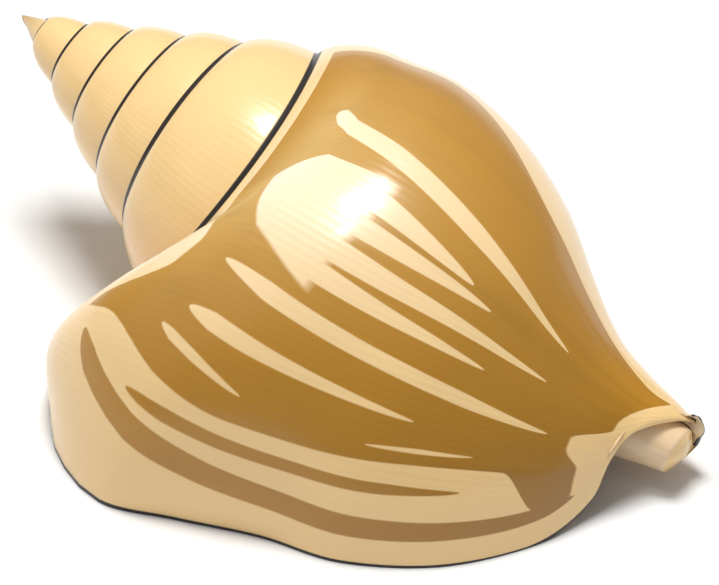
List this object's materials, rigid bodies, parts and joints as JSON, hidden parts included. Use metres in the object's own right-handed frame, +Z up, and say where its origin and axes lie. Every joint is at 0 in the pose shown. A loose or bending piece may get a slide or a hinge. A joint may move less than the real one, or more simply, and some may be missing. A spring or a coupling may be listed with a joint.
{
  "type": "whelk shell",
  "caption": "Spired sea snail shell lying on its aperture, with a swollen body whorl, a flared outer lip and a drawn-out canal.",
  "frame": {"origin": "middle of the footprint, on the surface that the shell lies on", "axes": "+X along the shell from the apex to the canal, -Y towards the flared outer lip, +Z up from the surface to the back of the body whorl"},
  "size_m": [0.0988, 0.0644, 0.039],
  "materials": {
    "shell": "satin"
  },
  "bodies": {
    "root": {"whelk_shell": "shell"}
  },
  "joints": []
}
